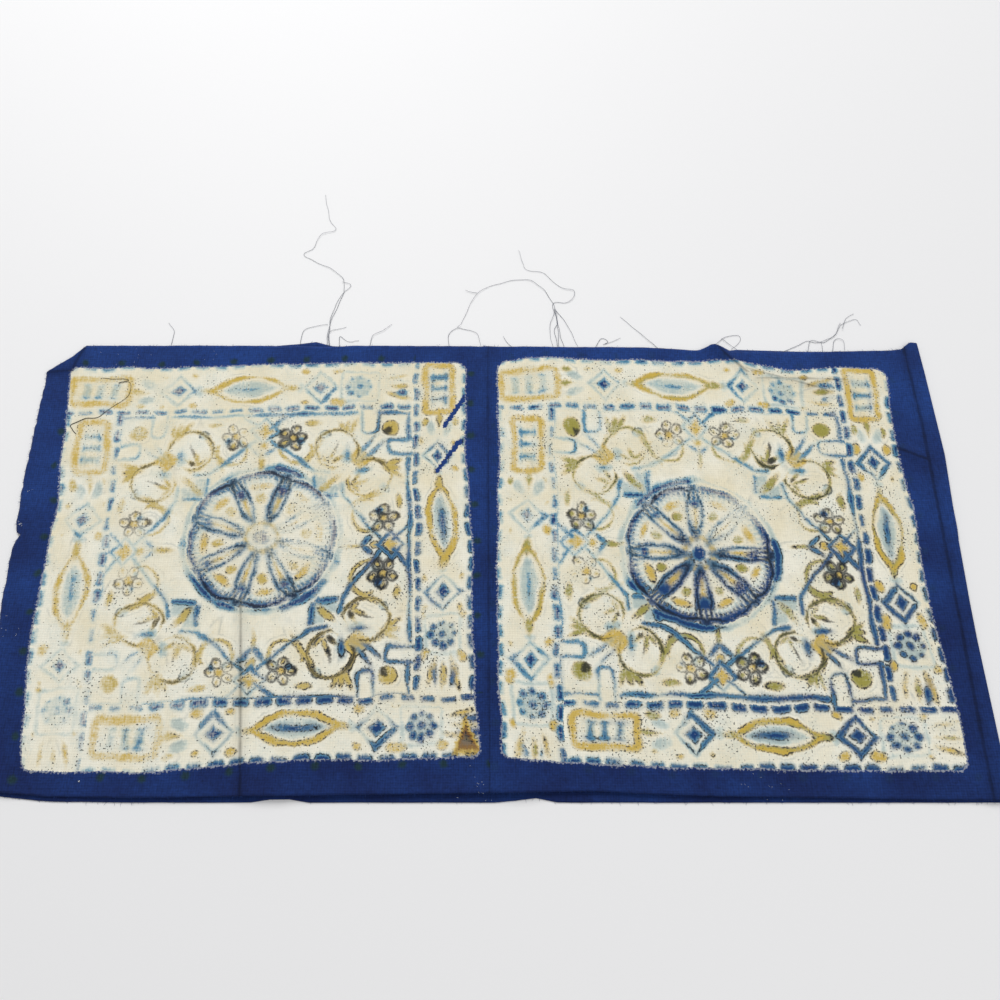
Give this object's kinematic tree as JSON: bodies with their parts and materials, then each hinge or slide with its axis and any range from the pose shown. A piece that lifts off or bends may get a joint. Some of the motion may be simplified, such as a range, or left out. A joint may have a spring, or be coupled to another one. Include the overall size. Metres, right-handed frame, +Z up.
{
  "type": "printed fabric panel",
  "caption": "Block-printed cotton panel with square medallion prints on a blue ground, folded over once and laid flat, its back edge ravelling.",
  "frame": {"origin": "on the surface that the panel lies on, under the middle of the box round the cloth and its loose threads", "axes": "+X along the panel's length towards the fold, +Y towards the ravelled back edge, +Z up"},
  "size_m": [0.9016, 0.6562, 0.0065],
  "materials": {
    "printed_cotton": "matt plain-weave cotton, dyed blue with worn cream squares of block print",
    "cotton_thread": "matt loose cotton thread"
  },
  "bodies": {
    "root": {"folded_cloth": "printed_cotton", "ravelled_threads_1": "cotton_thread", "ravelled_threads_2": "cotton_thread", "ravelled_threads_3": "cotton_thread", "ravelled_threads_4": "cotton_thread", "ravelled_threads_5": "cotton_thread", "ravelled_threads_6": "cotton_thread", "ravelled_threads_7": "cotton_thread", "ravelled_threads_8": "cotton_thread", "ravelled_threads_9": "cotton_thread"}
  },
  "joints": []
}
